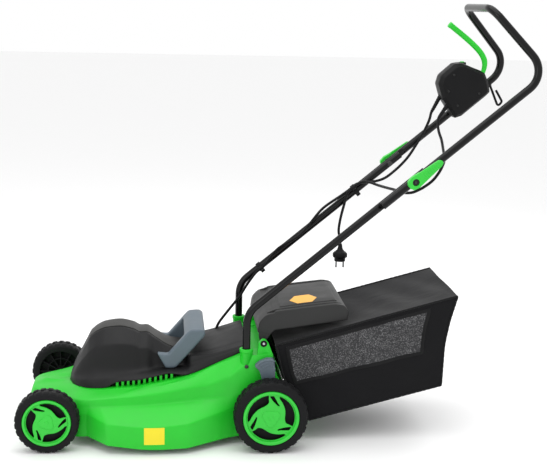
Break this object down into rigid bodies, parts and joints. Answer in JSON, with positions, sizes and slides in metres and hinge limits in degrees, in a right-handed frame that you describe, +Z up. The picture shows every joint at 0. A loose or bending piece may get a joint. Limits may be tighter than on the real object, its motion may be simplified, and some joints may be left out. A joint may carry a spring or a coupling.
{
  "type": "push lawn mower",
  "caption": "Walk-behind electric rotary mower: moulded deck on wheels with height setting, folding tube handle with switch box, rear flap and fabric grass bag.",
  "frame": {"origin": "middle of the footprint, on the ground, measured without the mains lead and its plug", "axes": "+X rearwards, from the mower to the person behind it; +Y to that person's right; +Z up"},
  "size_m": [1.2334, 0.474, 1.0625],
  "materials": {
    "green_plastic": "moulded, satin gloss",
    "black_plastic": "moulded, fine grain",
    "hood_plastic": "moulded, fine grain",
    "grey_plastic": "moulded, satin",
    "flap_plastic": "moulded, satin",
    "tyre_plastic": "moulded, matt",
    "black_tube": "glossy powder coat",
    "steel": "turned and zinc plated",
    "blackened_steel": "black oxide",
    "aluminium": "turned",
    "copper": "wound copper",
    "rubber": "matt",
    "bag_fabric": "woven polyester"
  },
  "bodies": {
    "deck": {"deck_platform": "green_plastic", "deck_nose": "green_plastic", "deck_left_side": "green_plastic", "deck_right_side": "green_plastic", "deck_rear": "green_plastic", "motor_hood": "hood_plastic", "carry_handle": "grey_plastic", "motor_bracket": "steel", "motor_can": "steel", "spindle_bearing": "steel", "left_lower_tube": "black_tube", "right_lower_tube": "black_tube", "left_tube_screw": "blackened_steel", "right_tube_screw": "blackened_steel", "flap_pin": "steel", "flap_spring": "steel", "cable_clip_upper": "black_plastic", "cable_clip_lower": "black_plastic", "motor_cable_lower": "rubber", "mains_cable_lower": "rubber", "mains_plug": "rubber", "drive_belt": "rubber"},
    "motor_rotor": {"armature": "copper", "motor_pulley": "aluminium"},
    "blade_spindle": {"spindle": "steel", "spindle_pulley": "aluminium", "blade_carrier": "black_plastic", "blade": "steel", "blade_bolt": "steel"},
    "rear_crank": {"rear_axle": "blackened_steel", "height_lever": "black_plastic", "height_lever_grip": "grey_plastic"},
    "front_crank": {"front_axle": "blackened_steel"},
    "link_rod": {"height_link_rod": "blackened_steel"},
    "front_left_wheel": {"front_left_wheel": "tyre_plastic", "front_left_hubcap": "green_plastic"},
    "front_right_wheel": {"front_right_wheel": "tyre_plastic", "front_right_hubcap": "green_plastic"},
    "rear_left_wheel": {"rear_left_wheel": "tyre_plastic", "rear_left_hubcap": "green_plastic"},
    "rear_right_wheel": {"rear_right_wheel": "tyre_plastic", "rear_right_hubcap": "green_plastic"},
    "flap": {"rear_flap": "flap_plastic"},
    "bag": {"grass_bag": "bag_fabric", "bag_frame": "blackened_steel"},
    "upper_handle": {"upper_handle": "black_tube", "left_fold_bolt": "steel", "right_fold_bolt": "steel", "switch_cover": "black_plastic", "switch_base": "black_plastic", "switch_module": "black_plastic", "motor_cable_gland": "rubber", "mains_cable_gland": "rubber", "motor_cable_upper": "rubber", "mains_cable_upper": "rubber", "cable_hook": "black_plastic"},
    "left_cam": {"left_cam_lever": "green_plastic"},
    "right_cam": {"right_cam_lever": "green_plastic"},
    "switch_lever": {"switch_lever": "green_plastic"},
    "safety_button": {"safety_button": "black_plastic"}
  },
  "joints": [
    {"name": "front_left_wheel_spin", "type": "hinge", "parent": "front_crank", "child": "front_left_wheel", "pos_m": [-0.54065, -0.193, 0.076], "axis": [0, 1, 0], "continuous": true},
    {"name": "front_right_wheel_spin", "type": "hinge", "parent": "front_crank", "child": "front_right_wheel", "pos_m": [-0.54065, 0.193, 0.076], "axis": [0, 1, 0], "continuous": true},
    {"name": "rear_left_wheel_spin", "type": "hinge", "parent": "rear_crank", "child": "rear_left_wheel", "pos_m": [-0.01265, -0.212, 0.089], "axis": [0, 1, 0], "continuous": true},
    {"name": "rear_right_wheel_spin", "type": "hinge", "parent": "rear_crank", "child": "rear_right_wheel", "pos_m": [-0.01265, 0.212, 0.089], "axis": [0, 1, 0], "continuous": true},
    {"name": "height_setting", "type": "hinge", "parent": "deck", "child": "rear_crank", "pos_m": [0.01735, 0, 0.078], "axis": [0, 1, 0], "range_deg": [-40, 0]},
    {"name": "front_height", "type": "hinge", "parent": "deck", "child": "front_crank", "pos_m": [-0.51065, 0, 0.065], "axis": [0, 1, 0], "range_deg": [-40, 0]},
    {"name": "link_swing", "type": "hinge", "parent": "rear_crank", "child": "link_rod", "pos_m": [0.01735, -0.148, 0.1], "axis": [0, 1, 0], "range_deg": [0, 40]},
    {"name": "blade_spin", "type": "hinge", "parent": "deck", "child": "blade_spindle", "pos_m": [-0.28565, 0, 0.046], "axis": [0, 0, 1], "continuous": true},
    {"name": "motor_spin", "type": "hinge", "parent": "deck", "child": "motor_rotor", "pos_m": [-0.38065, 0, 0.18], "axis": [0, 0, 1], "continuous": true},
    {"name": "flap_lift", "type": "hinge", "parent": "deck", "child": "flap", "pos_m": [-0.02765, 0, 0.251], "axis": [0, 1, 0], "range_deg": [-55, 0], "stiffness_Nm_per_rad": 0.6, "springref_deg": 20.05},
    {"name": "bag_removal", "type": "slide", "parent": "deck", "child": "bag", "axis": [0.9632, 0, 0.2689], "range_m": [0, 0.35]},
    {"name": "handle_fold", "type": "hinge", "parent": "deck", "child": "upper_handle", "pos_m": [0.32035, 0, 0.6491], "axis": [0, 1, 0], "range_deg": [-135, 0]},
    {"name": "left_lock_lever", "type": "hinge", "parent": "upper_handle", "child": "left_cam", "pos_m": [0.32035, -0.178, 0.6491], "axis": [0, 1, 0], "range_deg": [-100, 0]},
    {"name": "right_lock_lever", "type": "hinge", "parent": "upper_handle", "child": "right_cam", "pos_m": [0.32035, 0.178, 0.6491], "axis": [0, 1, 0], "range_deg": [-100, 0]},
    {"name": "switch_pull", "type": "hinge", "parent": "upper_handle", "child": "switch_lever", "pos_m": [0.53735, 0.106, 0.876], "axis": [0, 1, 0], "range_deg": [0, 14], "stiffness_Nm_per_rad": 2, "springref_deg": -5.73},
    {"name": "button_press", "type": "slide", "parent": "upper_handle", "child": "safety_button", "axis": [0, 0, -1], "range_m": [0, 0.0035], "stiffness_N_per_m": 400, "springref_m": -0.001}
  ],
  "couplings": [
    {"joint": "front_height", "follows": "height_setting", "ratio": 1},
    {"joint": "link_swing", "follows": "height_setting", "ratio": -1},
    {"joint": "motor_spin", "follows": "blade_spin", "ratio": 3.75}
  ]
}
